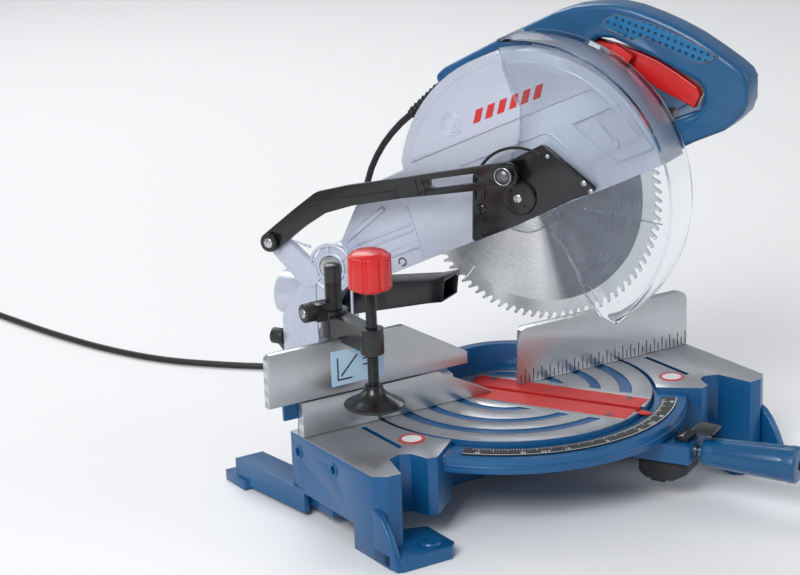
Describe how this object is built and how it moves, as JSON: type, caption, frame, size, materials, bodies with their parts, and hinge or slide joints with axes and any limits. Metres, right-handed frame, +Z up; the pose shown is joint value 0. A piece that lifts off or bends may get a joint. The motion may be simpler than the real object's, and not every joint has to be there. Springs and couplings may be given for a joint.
{
  "type": "mitre saw",
  "caption": "Compound mitre saw: footed base with fences, dial turntable and work clamp, tilting bracket, and a chopping head with motor, handle, blade, swinging guard and cord.",
  "frame": {"origin": "the turntable's vertical axis on the bench", "axes": "+X runs right along the fence, +Y points away from the person sawing, +Z up"},
  "size_m": [0.63, 1.2043, 0.461],
  "materials": {
    "blue_paint": "deep blue satin paint with a fine speckle",
    "silver_paint": "pale silver satin paint",
    "machined_aluminium": "machined, with fine parallel tool marks",
    "red_plastic": "satin red",
    "black_metal": "gloss black",
    "black_plastic": "fine texture",
    "blade_steel": "brushed in rings, with a brighter toothed rim",
    "plain_steel": "plain bright steel",
    "clear_plastic": "clear moulded plastic",
    "blue_plastic": "blue semi-gloss",
    "copper": "varnished windings",
    "black_rubber": "matte"
  },
  "bodies": {
    "base": {"base_casting": "blue_paint", "mitre_scale": "black_metal", "table_pivot_bolt": "plain_steel", "fence_casting": "machined_aluminium"},
    "sliding_fence": {"sliding_fence": "machined_aluminium"},
    "fence_knob": {"fence_lock_knob": "black_plastic"},
    "clamp_post": {"clamp_post": "plain_steel"},
    "clamp_arm": {"clamp_arm": "black_metal"},
    "clamp_thumbscrew": {"clamp_thumbscrew": "black_plastic"},
    "clamp_foot": {"clamp_foot": "black_metal"},
    "clamp_screw": {"clamp_spindle": "plain_steel", "clamp_knob": "red_plastic"},
    "turntable": {"turntable": "machined_aluminium", "insert_left": "red_plastic", "insert_right": "red_plastic", "mitre_pointer": "red_plastic", "bevel_bolt": "plain_steel", "cord_gland": "black_plastic", "cord": "black_rubber", "cord_coil": "black_rubber", "plug": "black_plastic"},
    "mitre_handle": {"mitre_spindle": "plain_steel", "mitre_knob": "blue_plastic"},
    "detent_lever": {"detent_lever": "black_metal"},
    "tilt": {"tilt_bracket": "silver_paint", "link_rear_bolt": "plain_steel", "chop_pin": "plain_steel", "chop_spring": "plain_steel", "cord_clip": "black_plastic", "lead_lower": "black_rubber"},
    "bevel_lever": {"bevel_lever": "black_plastic"},
    "hold_down_pin": {"hold_down_pin": "red_plastic"},
    "head": {"head_casting": "silver_paint", "cover_plate": "black_metal", "arbor_cap": "black_metal", "motor_housing": "blue_plastic", "motor_end_cap": "black_plastic", "brush_cap": "black_plastic", "stator": "plain_steel", "armature_bearing": "plain_steel", "drive_belt": "black_rubber", "arbor_bearing": "plain_steel", "handle_left": "blue_plastic", "handle_right": "blue_plastic", "dust_chute": "black_plastic", "dust_outlet": "silver_paint", "strain_relief": "black_rubber", "lead_upper": "black_rubber"},
    "spindle_lock": {"spindle_lock": "black_plastic"},
    "blade_spindle": {"arbor_spindle": "plain_steel", "blade": "blade_steel", "outer_flange": "plain_steel", "arbor_bolt": "plain_steel"},
    "rotor": {"armature": "copper"},
    "lower_guard": {"lower_guard": "clear_plastic", "link_front_pin": "black_metal"},
    "guard_link": {"guard_link": "black_metal"},
    "trigger": {"trigger": "red_plastic"},
    "lock_off": {"lock_off": "red_plastic"}
  },
  "joints": [
    {"name": "mitre_turn", "type": "hinge", "parent": "base", "child": "turntable", "pos_m": [0, 0, 0.08], "axis": [0, 0, 1], "range_deg": [-75, 15]},
    {"name": "bevel_tilt", "type": "hinge", "parent": "turntable", "child": "tilt", "pos_m": [0, 0, 0.08], "axis": [-0.5, 0.866, 0], "range_deg": [-22.5, 0], "deforming": ["lead_lower"]},
    {"name": "head_chop", "type": "hinge", "parent": "tilt", "child": "head", "pos_m": [-0.084, 0.14549, 0.197], "axis": [0.866, 0.5, 0], "range_deg": [0, 25], "stiffness_Nm_per_rad": 20, "springref_deg": -51.57, "deforming": ["lead_upper", "chop_spring"]},
    {"name": "blade_spin", "type": "hinge", "parent": "head", "child": "blade_spindle", "pos_m": [0.016, -0.02771, 0.285], "axis": [0.866, 0.5, 0], "continuous": true},
    {"name": "rotor_spin", "type": "hinge", "parent": "head", "child": "rotor", "pos_m": [0.043, -0.07448, 0.346], "axis": [0.866, 0.5, 0], "continuous": true},
    {"name": "guard_swing", "type": "hinge", "parent": "head", "child": "lower_guard", "pos_m": [0.016, -0.02771, 0.285], "axis": [0.866, 0.5, 0], "range_deg": [-34.6, 0]},
    {"name": "link_swing", "type": "hinge", "parent": "tilt", "child": "guard_link", "pos_m": [-0.1155, 0.20005, 0.219], "axis": [0.866, 0.5, 0], "range_deg": [0, 20.6]},
    {"name": "trigger_pull", "type": "hinge", "parent": "head", "child": "trigger", "pos_m": [0.08523, -0.05702, 0.421], "axis": [-0.866, -0.5, 0], "range_deg": [0, 6.5], "stiffness_Nm_per_rad": 1, "springref_deg": -5.73},
    {"name": "lock_off_press", "type": "slide", "parent": "head", "child": "lock_off", "axis": [0.866, 0.5, 0], "range_m": [0, 0.003], "stiffness_N_per_m": 300, "springref_m": -0.002},
    {"name": "spindle_lock_press", "type": "slide", "parent": "head", "child": "spindle_lock", "axis": [-0.866, -0.5, 0], "range_m": [0, 0.0035], "stiffness_N_per_m": 300, "springref_m": -0.002},
    {"name": "mitre_handle_turn", "type": "hinge", "parent": "turntable", "child": "mitre_handle", "pos_m": [0.12, -0.20785, 0.047], "axis": [-0.5, 0.866, 0], "range_deg": [0, 90]},
    {"name": "detent_press", "type": "hinge", "parent": "turntable", "child": "detent_lever", "pos_m": [0.095, -0.16454, 0.06], "axis": [0.866, 0.5, 0], "range_deg": [0, 10], "stiffness_Nm_per_rad": 1.5, "springref_deg": -5.73},
    {"name": "bevel_lever_turn", "type": "hinge", "parent": "turntable", "child": "bevel_lever", "pos_m": [-0.116, 0.20092, 0.08], "axis": [-0.5, 0.866, 0], "range_deg": [-45, 0]},
    {"name": "hold_down_pull", "type": "slide", "parent": "tilt", "child": "hold_down_pin", "axis": [-0.866, -0.5, 0], "range_m": [0, 0.006]},
    {"name": "fence_slide", "type": "slide", "parent": "base", "child": "sliding_fence", "axis": [-1, 0, 0], "range_m": [-0.017, 0.04]},
    {"name": "fence_knob_turn", "type": "hinge", "parent": "base", "child": "fence_knob", "pos_m": [-0.137, 0.026, 0.105], "axis": [0, 1, 0], "range_deg": [0, 90]},
    {"name": "clamp_post_turn", "type": "hinge", "parent": "base", "child": "clamp_post", "pos_m": [-0.173, 0.032, 0.1], "axis": [0, 0, 1], "range_deg": [-28, 28]},
    {"name": "clamp_arm_lift", "type": "slide", "parent": "clamp_post", "child": "clamp_arm", "axis": [0, 0, 1], "range_m": [0, 0.03]},
    {"name": "thumbscrew_turn", "type": "hinge", "parent": "clamp_arm", "child": "clamp_thumbscrew", "pos_m": [-0.2, 0.032, 0.19], "axis": [1, 0, 0], "range_deg": [0, 180]},
    {"name": "clamp_press", "type": "slide", "parent": "clamp_arm", "child": "clamp_foot", "axis": [0, 0, 1], "range_m": [-0.014, 0.014]},
    {"name": "clamp_screw_turn", "type": "hinge", "parent": "clamp_foot", "child": "clamp_screw", "pos_m": [-0.173, -0.035, 0.18], "axis": [0, 0, 1], "range_deg": [-1268, 1268]}
  ],
  "couplings": [
    {"joint": "rotor_spin", "follows": "blade_spin", "ratio": 3.0769},
    {"joint": "guard_swing", "follows": "head_chop", "ratio": -1.37},
    {"joint": "link_swing", "follows": "head_chop", "ratio": 0.81},
    {"joint": "clamp_screw_turn", "follows": "clamp_press", "rad_per_m": 1570.8}
  ]
}
